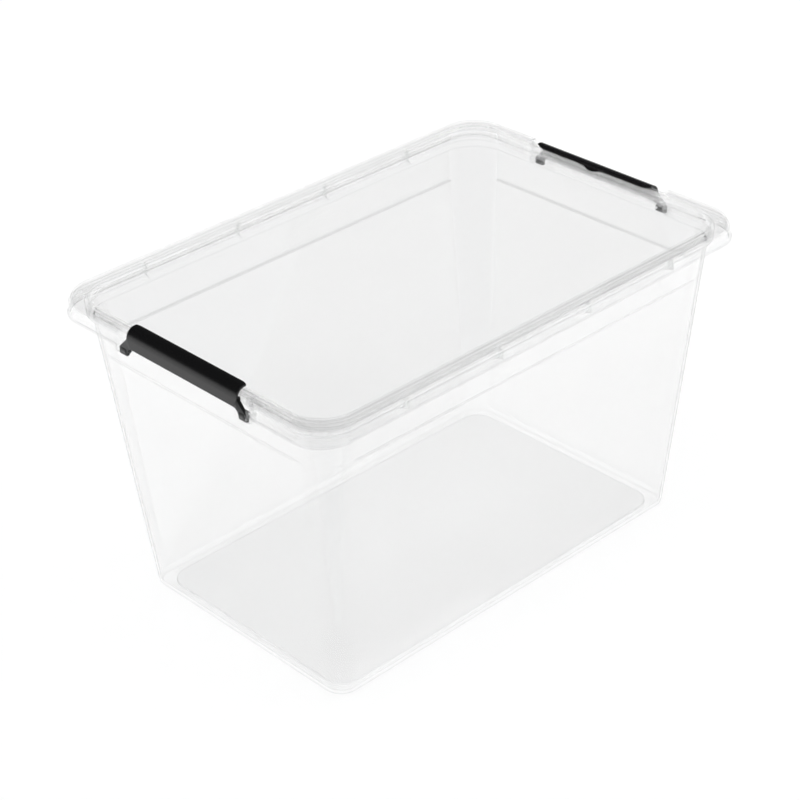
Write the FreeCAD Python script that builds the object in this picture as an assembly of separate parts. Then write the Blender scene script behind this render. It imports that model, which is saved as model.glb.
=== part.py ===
import FreeCAD, Part
import math
import os

from FreeCAD import Vector

# Clear moulded storage box: a tapered tub, a lift-off lid and a hinged latch at each short end.
# Millimetres. X runs along the box, Y across it, Z up; the origin is the middle of the footprint.

# Tub, over the outside of its rim
rim_length = 578.0
rim_width = 388.0
rim_corner = 37.0
tub_height = 333.0
wall = 2.2
floor_thickness = 2.6

# Side walls: each leans out from the foot to the ledge that carries the mouth
wall_lean = 31.7
foot_corner = 22.0
ledge_corner = 40.0
foot_fillet = 5.0
foot_ring_width = 8.0
foot_ring_height = 1.6

# Crease around the walls, below the rim
crease_drop = 51.5
crease_height = 1.2
crease_step = 1.0
crease_corner_fade = 3.3

# Mouth, flange and skirt of the rim
mouth_height = 13.0
mouth_draft = 0.3
mouth_corner = 42.0
ledge_height = 5.0
ledge_out = 4.9
flange_width = 10.2
skirt_height = 14.6
skirt_flare = 1.2
skirt_fillet = 1.6
bead_out = 1.0
bead_height = 2.6

# Gussets under the flange, along the two long sides
gusset_thickness = 2.0
gusset_pitch = 120.0
gussets_per_side = 4
gusset_foot_gap = 2.0

# Latch pockets in the two short sides, with the hinge pins
pocket_width = 187.0
pocket_shelf = 0.6
pin_radius = 2.5
pin_length = 12.0
pin_drop = 17.5
pin_inset = 6.5
ear_wall = 3.1

# Lid
lid_rise = 5.0
lid_wall = 1.8
lid_inset = 3.0
lid_corner = 38.0
lid_edge_fillet = 2.0
lid_seat_gap = 0.2
lid_notch_gap = 0.8
panel_drop = 6.0
panel_thickness = 2.0
border_fillet = 2.4
plug_depth = 8.0
plug_clearance = 0.8

# Latches
latch_inset = 3.0
latch_length = 159.0
latch_wall = 2.2
latch_over_lid = 0.4
latch_arch_radius = 11.0
latch_plate_above_pin = 4.6
lip_overlap = 0.5
lip_reach = 0.6
lip_round = 2.6
lip_bevel_along = 10.0
lip_bevel_across = 3.0
tab_width = 25.0
tab_reach = 4.8
tab_thickness = 1.6
tab_slope = 35.0
tab_root = 0.5
leg_side_gap = 1.5
leg_root_length = 10.0
leg_shoulder = 14.0
leg_knee = 2.0
leg_width = 11.0
leg_curl = 7.0
leg_foot_drop = 5.0
leg_thickness = 3.4
clip_wall = 1.9
clip_recess = 3.0
clip_clearance = 0.06
clip_end_gap = 0.7
clip_mouth = 3.6
latch_rib_count = 7
latch_rib_thickness = 2.0
latch_rib_depth = 3.0

# Heights that the pieces share
lid_top = tub_height + lid_rise
panel_top = lid_top - panel_drop
mouth_foot = tub_height - mouth_height
ledge_foot = mouth_foot - ledge_height
skirt_foot = tub_height - skirt_height
crease_middle = tub_height - crease_drop
pin_height = tub_height - pin_drop

# Insets from the rim's outside, the same on all four sides
skirt_inset = bead_out
mouth_inset = bead_out + flange_width - mouth_draft
mouth_foot_inset = mouth_inset + mouth_draft
ledge_inset = mouth_foot_inset + ledge_out
foot_inset = ledge_inset + wall_lean
plug_inset = mouth_foot_inset + wall + plug_clearance
plug_corner = mouth_corner - wall - plug_clearance
recess_inset = plug_inset + lid_wall
recess_corner = plug_corner - lid_wall

# Places at the right-hand end, measured along X from the middle
half_length = rim_length / 2
half_width = rim_width / 2
pocket_edge = half_length - mouth_inset + pocket_shelf
lid_notch_edge = pocket_edge - lid_notch_gap
border_inner_edge = half_length - recess_inset
latch_outer = half_length - latch_inset
pin_x = half_length - pin_inset
latch_crest = lid_top + latch_over_lid + latch_wall
leg_outer = pocket_width / 2 - leg_side_gap
clip_radius = pin_radius + clip_clearance + clip_wall
cut_margin = 20.0


def rounded_loop(inset, corner, height):
    """Rounded rectangle, inset from the rim's outside."""
    x = half_length - inset
    y = half_width - inset
    k = corner * math.sqrt(0.5)
    edges = []
    for turn, (a, b) in enumerate(((x, y), (y, x), (x, y), (y, x))):
        start = Vector(a, b - corner, height)
        middle = Vector(a - corner + k, b - corner + k, height)
        end = Vector(a - corner, b, height)
        next_start = Vector(-a + corner, b, height)
        for shape in (Part.Arc(start, middle, end).toShape(), Part.LineSegment(end, next_start).toShape()):
            shape.rotate(Vector(0, 0, 0), Vector(0, 0, 1), 90 * turn)
            edges.append(shape)
    return Part.Wire(edges)


def prism(inset, corner, low, high):
    face = Part.Face(rounded_loop(inset, corner, low))
    return face.extrude(Vector(0, 0, high - low))


def ring(inset, corner, thickness, low, high):
    outside = prism(inset, corner, low, high)
    return outside.cut(prism(inset + thickness, corner - thickness, low, high))


def block(low, high):
    size = Vector(*high) - Vector(*low)
    return Part.makeBox(size.x, size.y, size.z, Vector(*low))


def both_sides(shape, normal):
    """The shape and its mirror image across a plane through the origin."""
    return [shape, shape.mirror(Vector(0, 0, 0), normal)]


def edges_at(shape, height, keep):
    """Edges that lie level at a height and whose middle passes a test."""
    found = []
    for edge in shape.Edges:
        box = edge.BoundBox
        level = abs(box.ZMin - height) < 1e-4 and abs(box.ZMax - height) < 1e-4
        if level and keep(edge.CenterOfMass):
            found.append(edge)
    return found


def single(shape, name):
    shape = shape.removeSplitter()
    if len(shape.Solids) != 1 or not shape.isValid():
        raise ValueError(name + " is not one valid solid")
    return shape.Solids[0]


def wall_stations():
    """Height, inset and corner radius of the tub's outer face, from the foot to the flange."""
    lean = wall_lean / ledge_foot
    crease_low = crease_middle - crease_height / 2
    crease_high = crease_middle + crease_height / 2
    corner_low = foot_corner + (ledge_corner - foot_corner) * crease_low / ledge_foot - crease_corner_fade / 2
    corner_high = corner_low + crease_corner_fade * crease_step
    return [
        (0.0, foot_inset, foot_corner),
        (crease_low, foot_inset - lean * crease_low + crease_step / 2, corner_low),
        (crease_high, foot_inset - lean * crease_high - crease_step / 2, corner_high),
        (ledge_foot, ledge_inset, ledge_corner),
        (mouth_foot, mouth_foot_inset, mouth_corner),
        (tub_height, mouth_inset, mouth_corner),
    ]


def lofted(stations):
    loops = [rounded_loop(inset, corner, height) for height, inset, corner in stations]
    return Part.makeLoft(loops, True, True)


def tub_hollow():
    """The inside of the tub, one wall in from the outer face and open past the flange."""
    inner = [(height, inset + wall, corner - wall) for height, inset, corner in wall_stations()]
    floor_top = foot_ring_height + floor_thickness
    lean = wall_lean / ledge_foot
    inner[0] = (floor_top, foot_inset - lean * floor_top + wall, foot_corner - wall)
    top_height, top_inset, top_corner = inner[-1]
    inner.append((top_height + cut_margin, top_inset, top_corner))
    hollow = lofted(inner)
    return hollow.makeFillet(foot_fillet - wall, edges_at(hollow, floor_top, lambda c: True))


def rim():
    """Flange, skirt with its foot bead, and the gussets between skirt and mouth."""
    foot_corner_radius = rim_corner - skirt_inset
    inner_flare = skirt_flare * (skirt_height - wall) / skirt_height
    cap = lofted([(skirt_foot, skirt_inset, foot_corner_radius),
                  (tub_height, skirt_inset + skirt_flare, foot_corner_radius - skirt_flare)])
    cap = cap.makeFillet(skirt_fillet, edges_at(cap, tub_height, lambda c: True))
    inner_inset = skirt_inset + wall
    inner_corner = foot_corner_radius - wall
    cap = cap.cut(lofted([(skirt_foot, inner_inset, inner_corner),
                          (tub_height - wall, inner_inset + inner_flare, inner_corner - inner_flare)]))
    pieces = [ring(0.0, rim_corner, bead_out + wall / 2, skirt_foot, skirt_foot + bead_height)]
    for index in range(gussets_per_side):
        x = gusset_pitch * (index - (gussets_per_side - 1) / 2)
        pieces += both_sides(gusset(x), Vector(0, 1, 0))
    return cap.fuse(pieces)


def gusset(x):
    """Web under the flange, from the ledge up to the skirt, with a slanting lower edge."""
    outer = half_width - skirt_inset - skirt_flare - wall / 2
    points = [(half_width - ledge_inset - wall / 2, ledge_foot), (outer, skirt_foot + gusset_foot_gap),
              (outer, tub_height - wall / 2), (half_width - mouth_foot_inset - wall / 2, tub_height - wall / 2)]
    corners = [Vector(x - gusset_thickness / 2, y, z) for y, z in points]
    return Part.Face(Part.makePolygon(corners + corners[:1])).extrude(Vector(gusset_thickness, 0, 0))


def pocket_cut():
    low = (pocket_edge, -pocket_width / 2, ledge_foot - cut_margin)
    high = (half_length + cut_margin, pocket_width / 2, tub_height + cut_margin)
    return block(low, high)


def pocket_ear():
    """Side wall of a latch pocket, rounded at its foot round the hinge pin that it carries."""
    radius = pin_radius + ear_wall
    near = pocket_width / 2
    outer = half_length - skirt_inset - wall / 2
    points = [(pin_x - radius, pin_height), (outer, pin_height), (outer - skirt_flare, tub_height - wall / 2),
              (pin_x - radius, tub_height - wall / 2)]
    corners = [Vector(x, near, z) for x, z in points]
    plate = Part.Face(Part.makePolygon(corners + corners[:1])).extrude(Vector(0, wall, 0))
    along = Vector(0, 1, 0)
    foot = Part.makeCylinder(radius, wall, Vector(pin_x, near, pin_height), along)
    pin = Part.makeCylinder(pin_radius, pin_length + wall / 2, Vector(pin_x, near - pin_length, pin_height), along)
    return plate.fuse([foot, pin])


def make_tub():
    body = lofted(wall_stations())
    body = body.makeFillet(foot_fillet, edges_at(body, 0.0, lambda c: True))
    ring_inset = foot_inset + foot_fillet + foot_ring_width
    body = body.cut(prism(ring_inset, foot_corner, -cut_margin, foot_ring_height))
    body = body.fuse(rim())
    for cut in both_sides(pocket_cut(), Vector(1, 0, 0)):
        body = body.cut(cut)
    for ear in both_sides(pocket_ear(), Vector(0, 1, 0)):
        body = body.fuse(both_sides(ear, Vector(1, 0, 0)))
    return single(body.cut(tub_hollow()), "tub")


def lid_notch(extra):
    """Room for a latch at the lid's right-hand edge, widened all round by an extra."""
    low = (lid_notch_edge - extra, -pocket_width / 2 - extra, tub_height - cut_margin)
    high = (half_length + cut_margin, pocket_width / 2 + extra, lid_top + cut_margin)
    return block(low, high)


def make_lid():
    edge_foot = tub_height + lid_seat_gap
    border_under = lid_top - lid_wall
    panel_under = panel_top - panel_thickness
    plug_foot = tub_height - plug_depth
    outside = prism(lid_inset, lid_corner, edge_foot, lid_top)
    hollow = prism(lid_inset + lid_wall, lid_corner - lid_wall, edge_foot, border_under)
    for end in (0, 1):
        outside = outside.cut(both_sides(lid_notch(0.0), Vector(1, 0, 0))[end])
        hollow = hollow.cut(both_sides(lid_notch(lid_wall), Vector(1, 0, 0))[end])
    outside = outside.makeFillet(lid_edge_fillet, edges_at(outside, lid_top, lambda c: True))
    lid = outside.cut(hollow)
    lid = lid.fuse(prism(plug_inset, plug_corner, plug_foot, border_under))
    lid = lid.cut(prism(recess_inset, recess_corner, panel_top, lid_top + cut_margin))
    lid = lid.cut(prism(recess_inset, recess_corner, plug_foot, panel_under))
    inner = edges_at(lid, lid_top, lambda c: abs(c.x) < border_inner_edge + border_fillet
                     and abs(c.y) < half_width - recess_inset + border_fillet)
    lid = lid.makeFillet(border_fillet, inner)
    return single(lid, "lid")


def latch_section():
    """Section of the latch bar: outer plate, arch over the lid's border, and lip behind the border."""
    plate_low = pin_height + latch_plate_above_pin
    arch_x = latch_outer - latch_arch_radius
    arch_z = latch_crest - latch_arch_radius
    lip_outer = border_inner_edge - lip_reach
    lip_inner = lip_outer - latch_wall
    lip_low = lid_top - lip_overlap
    under = latch_crest - latch_wall
    inner_radius = latch_arch_radius - latch_wall
    diagonal = math.sqrt(0.5)

    def at(x, z):
        return Vector(x, 0, z)

    def arch(radius, first, last):
        middle = at(arch_x + radius * diagonal, arch_z + radius * diagonal)
        return Part.Arc(first, middle, last).toShape()

    def line(first, last):
        return Part.LineSegment(first, last).toShape()

    round_middle = at(lip_inner + lip_round * (1 - diagonal), latch_crest - lip_round * (1 - diagonal))
    edges = [
        line(at(latch_outer, plate_low), at(latch_outer, arch_z)),
        arch(latch_arch_radius, at(latch_outer, arch_z), at(arch_x, latch_crest)),
        line(at(arch_x, latch_crest), at(lip_inner + lip_round, latch_crest)),
        Part.Arc(at(lip_inner + lip_round, latch_crest), round_middle, at(lip_inner, latch_crest - lip_round)).toShape(),
        line(at(lip_inner, latch_crest - lip_round), at(lip_inner, lip_low)),
        line(at(lip_inner, lip_low), at(lip_outer, lip_low)),
        line(at(lip_outer, lip_low), at(lip_outer, under)),
        line(at(lip_outer, under), at(arch_x, under)),
        arch(inner_radius, at(arch_x, under), at(arch_x + inner_radius, arch_z)),
        line(at(arch_x + inner_radius, arch_z), at(arch_x + inner_radius, plate_low)),
        line(at(arch_x + inner_radius, plate_low), at(latch_outer, plate_low)),
    ]
    return Part.Face(Part.Wire(edges))


def lip_bevel():
    """Wedge that takes the corner off one end of the lip."""
    lip_inner = border_inner_edge - lip_reach - latch_wall
    end = latch_length / 2
    points = [Vector(lip_inner + lip_bevel_across, end, 0), Vector(lip_inner, end - lip_bevel_along, 0),
              Vector(lip_inner - cut_margin, end - lip_bevel_along, 0), Vector(lip_inner - cut_margin, end + 1, 0),
              Vector(lip_inner + lip_bevel_across, end + 1, 0)]
    wedge = Part.Face(Part.makePolygon(points + points[:1])).extrude(Vector(0, 0, latch_crest + cut_margin))
    return wedge


def finger_tab():
    """Half-round tab that hangs inwards from the middle of the lip."""
    root = border_inner_edge - lip_reach - tab_root
    low = lid_top - lip_overlap
    a = Vector(root, -tab_width / 2, low)
    b = Vector(root - tab_reach, 0, low)
    c = Vector(root, tab_width / 2, low)
    outline = Part.Wire([Part.Arc(a, b, c).toShape(), Part.LineSegment(c, a).toShape()])
    tab = Part.Face(outline).extrude(Vector(0, 0, tab_thickness))
    tab.rotate(Vector(root, 0, low), Vector(0, 1, 0), -tab_slope)
    return tab


def latch_leg():
    """Leg that curls from one end of the bar down to a strap with the clip for the hinge pin behind it."""
    end = latch_length / 2
    clip_inner = pocket_width / 2 - pin_length + clip_end_gap
    clip_outer = leg_outer - clip_recess
    strap_inner = leg_outer - leg_width
    plate_low = pin_height + latch_plate_above_pin
    strap_foot = pin_height - leg_foot_drop
    points = [(strap_inner - leg_curl, plate_low), (end - leg_root_length, plate_low),
              (end - leg_root_length, pin_height + leg_shoulder), (end, pin_height + leg_shoulder),
              (leg_outer, pin_height + leg_knee), (leg_outer, strap_foot), (strap_inner, strap_foot),
              (strap_inner, plate_low - leg_curl)]
    corners = [Vector(latch_outer - leg_thickness, y, z) for y, z in points]
    diagonal = math.sqrt(0.5)
    curl_middle = corners[0] + Vector(0, leg_curl * diagonal, -leg_curl * (1 - diagonal))
    outline = [Part.LineSegment(a, b).toShape() for a, b in zip(corners, corners[1:])]
    outline.append(Part.Arc(corners[-1], curl_middle, corners[0]).toShape())
    plate = Part.Face(Part.Wire(outline)).extrude(Vector(leg_thickness, 0, 0))
    along = Vector(0, 1, 0)
    start = Vector(pin_x, clip_inner, pin_height)
    knuckle = Part.makeCylinder(clip_radius, clip_outer - clip_inner, start, along)
    bore = Part.makeCylinder(pin_radius + clip_clearance, leg_outer - clip_inner + cut_margin,
                             start - Vector(0, cut_margin / 2, 0), along)
    mouth = block((pin_x - clip_radius - 1, clip_inner - 1, pin_height - clip_mouth / 2),
                  (pin_x, leg_outer + 1, pin_height + clip_mouth / 2))
    return plate.fuse(knuckle).cut(bore).cut(mouth)


def latch_ribs():
    """Stiffening ribs behind the outer plate."""
    ribs = []
    reach = latch_length - latch_rib_thickness
    inner_face = latch_outer - latch_wall
    low = pin_height + latch_plate_above_pin + latch_wall / 2
    high = latch_crest - latch_arch_radius + latch_wall / 2
    for index in range(latch_rib_count):
        y = reach * (index / (latch_rib_count - 1) - 0.5)
        ribs.append(block((inner_face - latch_rib_depth, y - latch_rib_thickness / 2, low),
                          (inner_face + latch_wall / 2, y + latch_rib_thickness / 2, high)))
    return ribs


def make_latch():
    """The latch of the right-hand end, closed."""
    section = latch_section()
    section.translate(Vector(0, -latch_length / 2, 0))
    bar = section.extrude(Vector(0, latch_length, 0))
    for wedge in both_sides(lip_bevel(), Vector(0, 1, 0)):
        bar = bar.cut(wedge)
    bar = bar.fuse([finger_tab()] + latch_ribs() + both_sides(latch_leg(), Vector(0, 1, 0)))
    return single(bar, "latch")


os.makedirs("parts", exist_ok=True)
right_latch = make_latch()
nodes = {
    "tub": make_tub(),
    "lid": make_lid(),
    "right_latch": right_latch,
    "left_latch": right_latch.mirror(Vector(0, 0, 0), Vector(1, 0, 0)),
}
for name, shape in nodes.items():
    shape.exportStep("parts/" + name + ".step")
    box = shape.BoundBox
    print(name, "volume", round(shape.Volume), "box", [round(v, 2) for v in
          (box.XMin, box.YMin, box.ZMin, box.XMax, box.YMax, box.ZMax)])
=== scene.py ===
import bmesh
import bpy
import math
from mathutils import Matrix, Vector
from mathutils.geometry import intersect_point_line


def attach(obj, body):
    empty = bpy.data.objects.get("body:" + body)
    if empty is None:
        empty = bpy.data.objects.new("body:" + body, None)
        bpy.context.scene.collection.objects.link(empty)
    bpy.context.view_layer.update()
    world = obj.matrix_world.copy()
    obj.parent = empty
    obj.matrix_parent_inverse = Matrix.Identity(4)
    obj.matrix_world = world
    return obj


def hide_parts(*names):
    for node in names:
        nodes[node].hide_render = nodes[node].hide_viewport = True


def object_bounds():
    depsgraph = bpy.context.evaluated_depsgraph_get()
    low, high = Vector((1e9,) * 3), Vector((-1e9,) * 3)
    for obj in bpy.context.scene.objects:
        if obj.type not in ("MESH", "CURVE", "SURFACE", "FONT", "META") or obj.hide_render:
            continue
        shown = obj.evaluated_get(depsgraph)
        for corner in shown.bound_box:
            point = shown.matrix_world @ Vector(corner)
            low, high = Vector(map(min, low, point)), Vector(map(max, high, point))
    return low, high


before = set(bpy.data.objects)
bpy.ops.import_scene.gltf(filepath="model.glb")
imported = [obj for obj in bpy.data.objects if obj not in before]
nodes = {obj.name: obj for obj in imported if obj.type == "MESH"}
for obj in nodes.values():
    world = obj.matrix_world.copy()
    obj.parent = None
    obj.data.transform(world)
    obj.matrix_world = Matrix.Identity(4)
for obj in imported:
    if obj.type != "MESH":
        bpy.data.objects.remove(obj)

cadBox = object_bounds()
scene = bpy.context.scene
scene.view_settings.view_transform = "Standard"
noiseSpan = (0.3, 0.7)  # where nearly all values of a noise texture lie
noiseRoughness = 0.55
print("frame loaded")


def newMaterial(name):
    material = bpy.data.materials.new(name)
    material.use_nodes = True
    tree = material.node_tree
    return material, tree, tree.nodes["Principled BSDF"]


def setSockets(node, values):
    for socketName, value in values.items():
        node.inputs[socketName].default_value = value


def noiseAt(tree, scale, detail):
    place = tree.nodes.new("ShaderNodeTexCoord")
    noise = tree.nodes.new("ShaderNodeTexNoise")
    setSockets(noise, {"Scale": scale, "Detail": detail, "Roughness": noiseRoughness})
    tree.links.new(place.outputs["Object"], noise.inputs["Vector"])
    return noise.outputs["Fac"]


def bumpFrom(tree, source, height, strength):
    bump = tree.nodes.new("ShaderNodeBump")
    setSockets(bump, {"Strength": strength, "Distance": height})
    tree.links.new(source, bump.inputs["Height"])
    return bump.outputs["Normal"]


def maths(tree, operation, first, second):
    node = tree.nodes.new("ShaderNodeMath")
    node.operation = operation
    for socket, value in zip(node.inputs, (first, second)):
        if isinstance(value, (int, float)):
            socket.default_value = value
        else:
            tree.links.new(value, socket)
    return node.outputs[0]


def ramp(tree, source, fromSpan, toSpan):
    span = tree.nodes.new("ShaderNodeMapRange")
    span.interpolation_type = "SMOOTHSTEP"
    setSockets(span, dict(zip(("From Min", "From Max", "To Min", "To Max"), fromSpan + toSpan)))
    tree.links.new(source, span.inputs["Value"])
    return span.outputs["Result"]


def mixColor(tree, share, first, second):
    node = tree.nodes.new("ShaderNodeMix")
    node.data_type = "RGBA"
    tree.links.new(share, node.inputs[0])
    for socket, color in ((node.inputs[6], first), (node.inputs[7], second)):
        if isinstance(color, tuple):
            socket.default_value = color
        else:
            tree.links.new(color, socket)
    return node.outputs[2]


def faceMark(tree, name):
    mark = tree.nodes.new("ShaderNodeAttribute")
    mark.attribute_name = name
    return mark.outputs["Fac"]


# clear polypropylene: denser where it is seen edge-on and in its rounded edges, with painted shade (a dark
# tint) in the tub's crease line and wall corners, and a painted pale reflection on the walls behind the
# latches
clearPlastic = {
    "surface": {"IOR": 1.45},
    "roughness": (0.01, 0.03),
    "transmission": (0.93, 0.5),
    "tint": (0.72, 0.735, 0.74, 1),
    # pale: on the walls behind the latches a painted pale reflection; past clearLayers it only takes the
    # tint away
    "paleTint": (0.97, 0.97, 0.97, 1),
    # painted shade: the dark tint laid on the tub's crease line and wall corners
    "paintedShadeTint": (0.2, 0.204, 0.206, 1),
    "body": (0.1, 0.8),
    "bodyTurn": (0.62, 0.92),
    "mouthPaintedPale": 0.3,
    "shadowBody": 0.07,
    "clearLayers": 5.5,  # past this many layers it is solid and pale, as the renderer passes only a few
    "flowScale": 7.0,
    "flowDetail": 2.0,
    "flowHeight": 0.00012,
    "flowStrength": 0.5,
    "grainScale": 220.0,
    "grainDetail": 3.0,
}


def makeClearPlastic():
    material, tree, shader = newMaterial("clearPlastic")
    setSockets(shader, clearPlastic["surface"])
    grain = noiseAt(tree, clearPlastic["grainScale"], clearPlastic["grainDetail"])
    tree.links.new(ramp(tree, grain, noiseSpan, clearPlastic["roughness"]), shader.inputs["Roughness"])
    flow = noiseAt(tree, clearPlastic["flowScale"], clearPlastic["flowDetail"])
    waves = bumpFrom(tree, flow, clearPlastic["flowHeight"], clearPlastic["flowStrength"])
    tree.links.new(waves, shader.inputs["Normal"])
    facing = tree.nodes.new("ShaderNodeLayerWeight")
    density = ramp(tree, facing.outputs["Facing"], clearPlastic["bodyTurn"], clearPlastic["body"])
    path = tree.nodes.new("ShaderNodeLightPath")
    deep = maths(tree, "GREATER_THAN", path.outputs["Transparent Depth"], clearPlastic["clearLayers"])
    mouth = faceMark(tree, "mouthRing")
    whole = maths(tree, "MAXIMUM", density, faceMark(tree, "mouldEdge"))
    whole = maths(tree, "MAXIMUM", whole, maths(tree, "MULTIPLY", mouth, clearPlastic["mouthPaintedPale"]))
    whole = maths(tree, "MAXIMUM", whole, deep)
    body = tree.nodes.new("ShaderNodeMix")
    body.inputs["B"].default_value = clearPlastic["shadowBody"]
    tree.links.new(whole, body.inputs["A"])
    tree.links.new(path.outputs["Is Shadow Ray"], body.inputs["Factor"])
    tree.links.new(body.outputs["Result"], shader.inputs["Alpha"])
    # painted shade: faces marked with it take the dark tint, the crease line in full and the wall corners in
    # part
    tint = mixColor(tree, faceMark(tree, "paintedShade"), clearPlastic["tint"], clearPlastic["paintedShadeTint"])
    # painted reflection: the walls behind the latches turn pale, and layers past clearLayers lose the tint
    tint = mixColor(tree, maths(tree, "MAXIMUM", mouth, deep), tint, clearPlastic["paleTint"])
    tree.links.new(tint, shader.inputs["Base Color"])
    # the walls behind the latches pass less light and scatter the rest white, part of their painted pale
    # reflection
    passing = tree.nodes.new("ShaderNodeMix")
    setSockets(passing, dict(zip("AB", clearPlastic["transmission"])))
    tree.links.new(mouth, passing.inputs["Factor"])
    tree.links.new(passing.outputs["Result"], shader.inputs["Transmission Weight"])
    return material


# black latch plastic with a fine spark-eroded grain
latchPlastic = {
    "surface": {"Base Color": (0.005, 0.005, 0.0055, 1)},
    "roughness": (0.2, 0.28),
    "grainScale": 1800.0,
    "grainDetail": 2.0,
    "grainHeight": 0.00012,
    "grainStrength": 0.6,
}


def makeLatchPlastic():
    material, tree, shader = newMaterial("latchPlastic")
    setSockets(shader, latchPlastic["surface"])
    grain = noiseAt(tree, latchPlastic["grainScale"], latchPlastic["grainDetail"])
    tree.links.new(ramp(tree, grain, noiseSpan, latchPlastic["roughness"]), shader.inputs["Roughness"])
    spark = bumpFrom(tree, grain, latchPlastic["grainHeight"], latchPlastic["grainStrength"])
    tree.links.new(spark, shader.inputs["Normal"])
    return material


# moulded pieces: the solid's mesh with its sharp edges rounded wherever there is room beside them
moulding = {
    "weldDistance": 1e-6,
    "flatDegrees": 0.4,
    "edgeDegrees": 28.0,
    "foldDegrees": 120.0,
    "segments": 3,
    "profile": 0.5,
    "mostSides": 4,
    "roomPlaces": (0.1, 0.5, 0.9),
    "roomMost": 1.0,
    "roomShare": 2.2,
    "foldReach": 2.0,
    "tries": 4,
    "normalWeight": 80,
}


# how far the face beside an edge goes on, square to the edge, at three places along it
def roomBeside(loop):
    start, end = loop.vert.co, loop.link_loop_next.vert.co
    length = (end - start).length
    along = (end - start) / length
    inward = loop.face.normal.cross(along)
    room = moulding["roomMost"]
    for edge in loop.face.edges:
        first, last = [vert.co - start for vert in edge.verts]
        for share in moulding["roomPlaces"]:
            before = first.dot(along) - length * share
            after = last.dot(along) - length * share
            if (before > 0) != (after > 0):
                reach = first.lerp(last, before / (before - after)).dot(inward)
                room = min(room, reach) if reach > moulding["weldDistance"] else room
    return room


def foldsIn(build):
    limit = math.radians(moulding["foldDegrees"])
    return [edge.verts[0].co.lerp(edge.verts[1].co, 0.5) for edge in build.edges
            if len(edge.link_faces) != 2 or edge.calc_face_angle(0.0) > limit]


def nearAny(edge, points, reach):
    start, end = [vert.co for vert in edge.verts]
    for point in points:
        share = intersect_point_line(point, start, end)[1]
        if (start.lerp(end, min(max(share, 0), 1)) - point).length < reach:
            return True
    return False


# rounds what has room; edges beside a fold are left sharp and the rest is rounded again
def roundEdges(mesh, edgeRound, edgeBody):
    flat = math.radians(moulding["flatDegrees"])
    bent = math.radians(moulding["edgeDegrees"])
    tight, known = [], None
    for _ in range(moulding["tries"]):
        build = bmesh.new()
        build.from_mesh(mesh)
        edgeMark = build.faces.layers.float.new("mouldEdge")
        bmesh.ops.remove_doubles(build, verts=build.verts, dist=moulding["weldDistance"])
        bmesh.ops.dissolve_limit(build, angle_limit=flat, verts=build.verts, edges=build.edges)
        known = foldsIn(build) if known is None else known
        sharp = [edge for edge in build.edges
                 if len(edge.link_faces) == 2 and edge.calc_face_angle(0.0) > bent]
        roomy = [edge for edge in sharp
                 if min(roomBeside(loop) for loop in edge.link_loops) > edgeRound * moulding["roomShare"]
                 and not nearAny(edge, tight, edgeRound * moulding["foldReach"])]
        rounded = bmesh.ops.bevel(build, geom=roomy, offset=edgeRound, offset_type="OFFSET",
                                  segments=moulding["segments"], profile=moulding["profile"],
                                  affect="EDGES", clamp_overlap=False)
        for face in rounded["faces"]:
            face[edgeMark] = edgeBody
        many = [face for face in build.faces if len(face.verts) > moulding["mostSides"]]
        bmesh.ops.triangulate(build, faces=many)
        fresh = [fold for fold in foldsIn(build) if all((fold - old).length > edgeRound for old in known)]
        if not fresh:
            break
        tight += fresh
    print(mesh.name, "rounded", len(roomy), "of", len(sharp), "edges, folds", len(fresh))
    return build


# the walls between mouth and lid behind each latch, by their distance inside the rim's end; they are painted
# pale, a painted reflection that veils the latch plate seen through them
mouthRing = {
    "inset": (0.0095, 0.0168),
    "foot": 0.315,
    "steep": 0.5,
    "halfWidth": 0.1,
}


def inMouthRing(point):
    low, high = mouthRing["inset"]
    inset = cadBox[1][0] - abs(point.x)
    return low < inset < high and abs(point.y) < mouthRing["halfWidth"] and point.z > mouthRing["foot"]


# painted shade in the tub's crease line and the corners between its walls, a dark tint standing in for their
# shade, and denser gussets under the flange
wallMarks = {
    "wallTop": 0.312,
    "cornerTurn": 0.08,
    "cornerPaintedShade": 0.3,
    "creaseHeight": (0.2795, 0.2835),
    "creaseShadeBody": 0.3,
    "creasePaintedShade": 1.0,
    "gussetBody": 0.22,
    "gussetFoot": 0.29,
    "gussetDepth": 0.021,
    "gussetEnd": 0.25,
    "gussetTurn": 0.9,
}
faceMarks = ("mouthRing", "paintedShade")


def markWall(face, edgeMark, paintedShadeMark, middle):
    low, high = wallMarks["creaseHeight"]
    atCorner = min(abs(face.normal.x), abs(face.normal.y)) > wallMarks["cornerTurn"]
    # painted shade: the crease faces get the dark tint in full and the wall corners in part
    if face[edgeMark] > 0 and low < middle.z < high:
        face[edgeMark] = wallMarks["creaseShadeBody"]
        face[paintedShadeMark] = wallMarks["creasePaintedShade"]
    elif atCorner and middle.z < wallMarks["wallTop"]:
        face[paintedShadeMark] = wallMarks["cornerPaintedShade"]
    outward = abs(middle.y) > cadBox[1][1] - wallMarks["gussetDepth"]
    underFlange = outward and abs(middle.x) < wallMarks["gussetEnd"] and middle.z > wallMarks["gussetFoot"]
    if underFlange and abs(face.normal.x) > wallMarks["gussetTurn"]:
        face[edgeMark] = max(face[edgeMark], wallMarks["gussetBody"])


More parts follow.
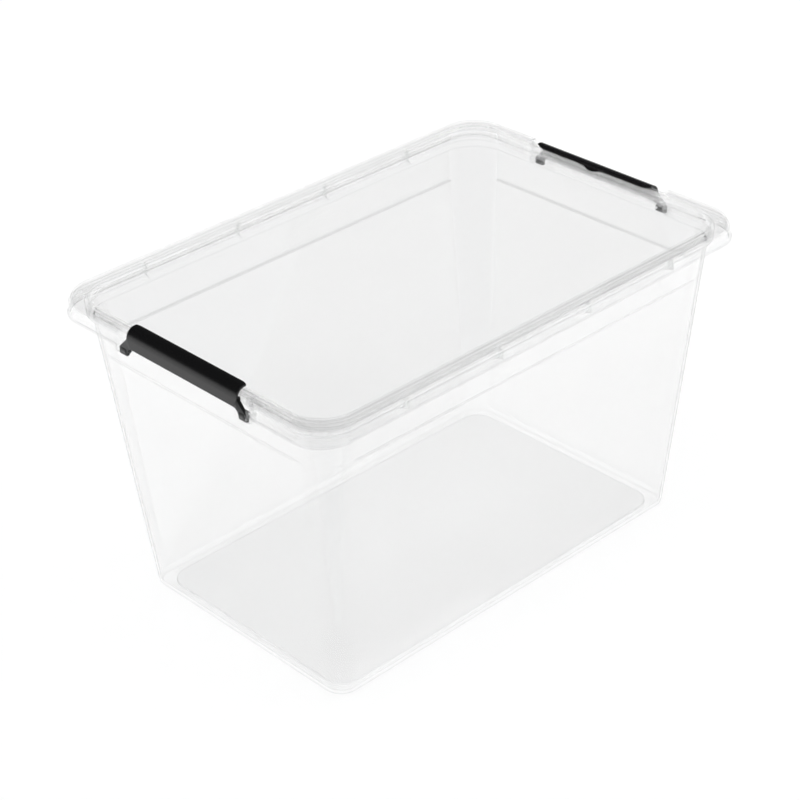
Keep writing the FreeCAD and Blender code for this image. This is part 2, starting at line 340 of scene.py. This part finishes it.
def mouldedCopy(name, nodeName, edges, material):
    mesh = nodes[nodeName].data.copy()
    mesh.name = name
    build = roundEdges(mesh, edges["round"], edges["body"])
    edgeMark = build.faces.layers.float["mouldEdge"]
    mouthMark, paintedShadeMark = [build.faces.layers.float.new(mark) for mark in faceMarks]
    for face in build.faces:
        face.smooth = True
        middle = face.calc_center_median()
        face[mouthMark] = float(abs(face.normal.z) < mouthRing["steep"] and inMouthRing(middle))
        if nodeName == "tub":
            markWall(face, edgeMark, paintedShadeMark, middle)
    build.to_mesh(mesh)
    build.free()
    mesh.materials.clear()
    mesh.materials.append(material)
    piece = bpy.data.objects.new(name, mesh)
    scene.collection.objects.link(piece)
    normals = piece.modifiers.new("normals", "WEIGHTED_NORMAL")
    normals.keep_sharp = True
    normals.weight = moulding["normalWeight"]
    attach(piece, nodeName)
    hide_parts(nodeName)


clear = makeClearPlastic()
black = makeLatchPlastic()
print("plastics made")

# the round of a piece's edges in metres, and how dense the plastic is in it
tubEdges = {"round": 0.0005, "body": 0.35}
mouldedCopy("tubMoulding", "tub", tubEdges, clear)

lidEdges = {"round": 0.0005, "body": 0.13}
mouldedCopy("lidMoulding", "lid", lidEdges, clear)

latchEdges = {"round": 0.0003, "body": 1.0}
mouldedCopy("leftLatchMoulding", "left_latch", latchEdges, black)
mouldedCopy("rightLatchMoulding", "right_latch", latchEdges, black)
print("mouldings made")

# camera and light
cameraView = {
    "place": (-1.32493, -1.42243, 1.3423),
    "lookAt": (-0.00672, 0.0092, 0.17),
    "rollDegrees": -2.087,
    "lens": 100.0,
    "sensor": 36.0,
    "clip": (0.05, 60.0),
}


def makeCamera():
    data = bpy.data.cameras.new("camera")
    camera = bpy.data.objects.new("camera", data)
    scene.collection.objects.link(camera)
    place, target = Vector(cameraView["place"]), Vector(cameraView["lookAt"])
    turn = (target - place).to_track_quat("-Z", "Y").to_matrix().to_4x4()
    roll = Matrix.Rotation(math.radians(cameraView["rollDegrees"]), 4, "Z")
    camera.matrix_world = Matrix.Translation(place) @ turn @ roll
    data.lens = cameraView["lens"]
    data.sensor_width = cameraView["sensor"]
    data.clip_start, data.clip_end = cameraView["clip"]
    scene.camera = camera


def seenDirectly(tree):
    path = tree.nodes.new("ShaderNodeLightPath")
    seen = path.outputs["Is Camera Ray"]
    for ray in ("Is Glossy Ray", "Is Transmission Ray"):
        seen = maths(tree, "MAXIMUM", seen, path.outputs[ray])
    return seen


studio = {
    "worldLight": 0.75,
    "horizon": 1.0,
    "overhead": 0.03,
    "overheadThrough": 0.88,
    "horizonHeight": (0.0, 0.25),
    "floorSize": 60.0,
    "floorColor": (0.52, 0.52, 0.52, 1),
    "floorRoughness": 0.9,
    "floorGlow": 0.52,
}


# white at the horizon and darker overhead, as in a studio with a white sweep
def makeWorld():
    world = bpy.data.worlds.new("studioWhite")
    world.use_nodes = True
    scene.world = world
    tree = world.node_tree
    background = tree.nodes["Background"]
    background.inputs["Color"].default_value = (1, 1, 1, 1)
    place = tree.nodes.new("ShaderNodeTexCoord")
    height = tree.nodes.new("ShaderNodeSeparateXYZ")
    tree.links.new(place.outputs["Generated"], height.inputs["Vector"])
    fall = tree.nodes.new("ShaderNodeMapRange")
    low, high = studio["horizonHeight"]
    setSockets(fall, {"From Min": low, "From Max": high, "To Min": studio["horizon"]})
    tree.links.new(height.outputs["Z"], fall.inputs["Value"])
    path = tree.nodes.new("ShaderNodeLightPath")
    above = tree.nodes.new("ShaderNodeMix")
    setSockets(above, {"A": studio["overhead"], "B": studio["overheadThrough"]})
    tree.links.new(path.outputs["Is Transmission Ray"], above.inputs["Factor"])
    tree.links.new(above.outputs["Result"], fall.inputs["To Max"])
    mix = tree.nodes.new("ShaderNodeMix")
    mix.inputs["A"].default_value = studio["worldLight"]
    tree.links.new(fall.outputs["Result"], mix.inputs["B"])
    tree.links.new(seenDirectly(tree), mix.inputs["Factor"])
    tree.links.new(mix.outputs["Result"], background.inputs["Strength"])


def makeFloor():
    half = studio["floorSize"] / 2
    mesh = bpy.data.meshes.new("floor")
    corners = [(-half, -half, 0), (half, -half, 0), (half, half, 0), (-half, half, 0)]
    mesh.from_pydata(corners, [], [(0, 1, 2, 3)])
    floor = bpy.data.objects.new("floor", mesh)
    scene.collection.objects.link(floor)
    material, _, shader = newMaterial("floorWhite")
    setSockets(shader, {
        "Base Color": studio["floorColor"],
        "Roughness": studio["floorRoughness"],
        "Specular IOR Level": 0.0,
        "Emission Color": (1, 1, 1, 1),
        "Emission Strength": studio["floorGlow"],
    })
    mesh.materials.append(material)


lamps = [
    {"name": "keyLamp", "from": (-0.55, -0.1, 1.0), "spreadDegrees": 40, "strength": 0.5},
    {"name": "sideLamp", "from": (0.7, -0.6, 1.0), "spreadDegrees": 50, "strength": 0.3},
]


def makeLamps():
    for lamp in lamps:
        data = bpy.data.lights.new(lamp["name"], "SUN")
        data.angle = math.radians(lamp["spreadDegrees"])
        data.energy = lamp["strength"]
        obj = bpy.data.objects.new(lamp["name"], data)
        obj.rotation_euler = Vector(lamp["from"]).to_track_quat("Z", "Y").to_euler()
        scene.collection.objects.link(obj)


makeCamera()
makeWorld()
makeFloor()
makeLamps()
print("studio set")
